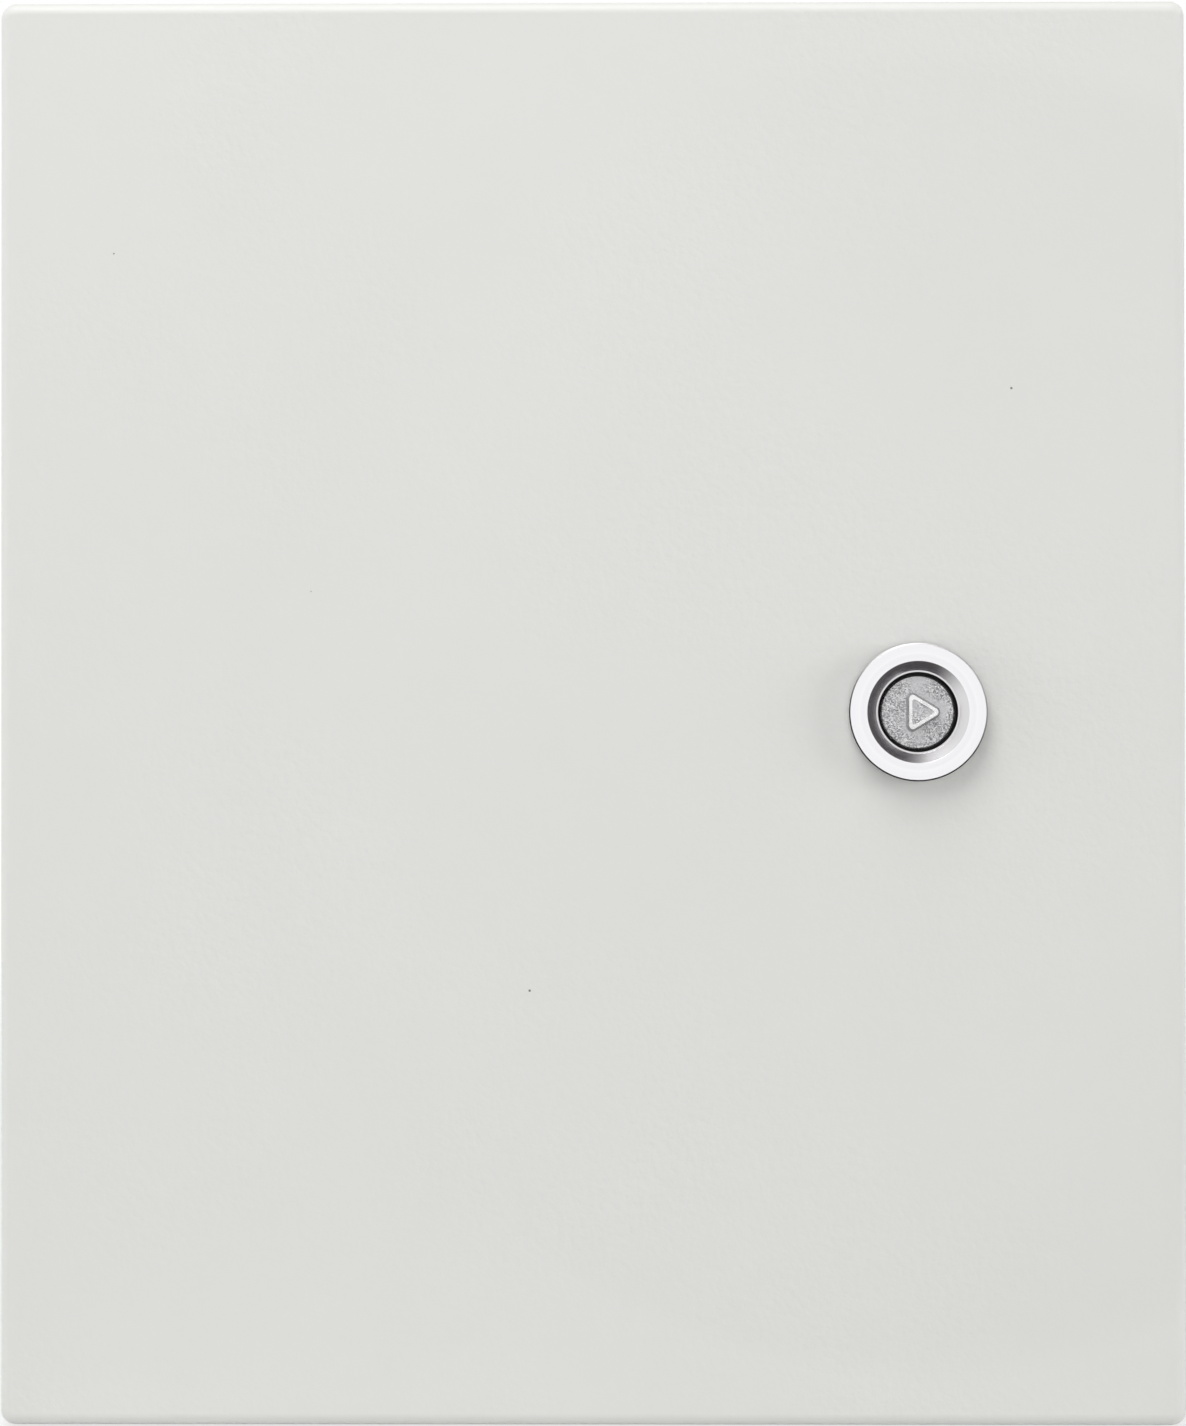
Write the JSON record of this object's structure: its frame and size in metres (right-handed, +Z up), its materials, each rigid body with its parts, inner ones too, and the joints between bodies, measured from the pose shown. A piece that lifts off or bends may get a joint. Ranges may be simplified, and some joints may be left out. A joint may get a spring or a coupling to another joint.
{
  "type": "wall enclosure",
  "caption": "Sheet-steel wall enclosure with a hinged full-face door, foam door seal, concealed hinges, quarter-turn lock, mounting plate and gland plate.",
  "frame": {"origin": "centre of the four wall holes, on the rear face that lies against the wall", "axes": "+Y into the wall, so the door faces -Y; +Z up; +X to the right, seen from the front"},
  "size_m": [0.25, 0.154, 0.3],
  "materials": {
    "powder_coat": "light grey powder coat with a fine orange-peel texture, satin",
    "galvanised_sheet": "dull galvanised sheet with faint spangle",
    "chrome": "bright plated and turned, faint turning lines",
    "cast_zinc": "die-cast, bright plated over a rough casting skin",
    "zinc_plated_steel": "bright zinc plate, slightly hazy",
    "gasket_foam": "poured closed-cell foam, black, matt with a smooth skin",
    "seal_rubber": "black rubber, matt"
  },
  "bodies": {
    "enclosure": {"body_wrapper": "powder_coat", "rear_pan": "powder_coat", "mounting_plate": "galvanised_sheet", "gland_plate": "galvanised_sheet", "upper_body_leaf": "zinc_plated_steel", "lower_body_leaf": "zinc_plated_steel", "plate_studs": "zinc_plated_steel", "plate_sleeves": "zinc_plated_steel", "plate_washers": "zinc_plated_steel", "plate_nuts": "zinc_plated_steel", "gland_studs": "zinc_plated_steel", "gland_nuts": "zinc_plated_steel", "body_earth_stud": "zinc_plated_steel", "body_earth_washer": "zinc_plated_steel", "body_earth_nut": "zinc_plated_steel", "gland_seal": "seal_rubber"},
    "door": {"door_panel": "powder_coat", "door_gasket": "gasket_foam", "upper_door_leaf": "zinc_plated_steel", "lower_door_leaf": "zinc_plated_steel", "upper_hinge_pin": "zinc_plated_steel", "lower_hinge_pin": "zinc_plated_steel", "lock_housing": "chrome", "lock_seal_ring": "seal_rubber", "lock_washer": "zinc_plated_steel", "lock_nut": "zinc_plated_steel", "door_earth_stud": "zinc_plated_steel", "door_earth_washer": "zinc_plated_steel", "door_earth_nut": "zinc_plated_steel"},
    "lock": {"lock_core": "cast_zinc", "core_ring": "seal_rubber", "stop_washer": "zinc_plated_steel", "lock_cam": "zinc_plated_steel", "cam_washer": "zinc_plated_steel", "cam_screw": "zinc_plated_steel"}
  },
  "joints": [
    {"name": "door_hinge", "type": "hinge", "parent": "enclosure", "child": "door", "pos_m": [-0.1195, -0.139, 0], "axis": [0, 0, -1], "range_deg": [0, 120]},
    {"name": "lock_turn", "type": "hinge", "parent": "door", "child": "lock", "pos_m": [0.0682, -0.15, 0], "axis": [0, 1, 0], "range_deg": [0, 90]}
  ]
}
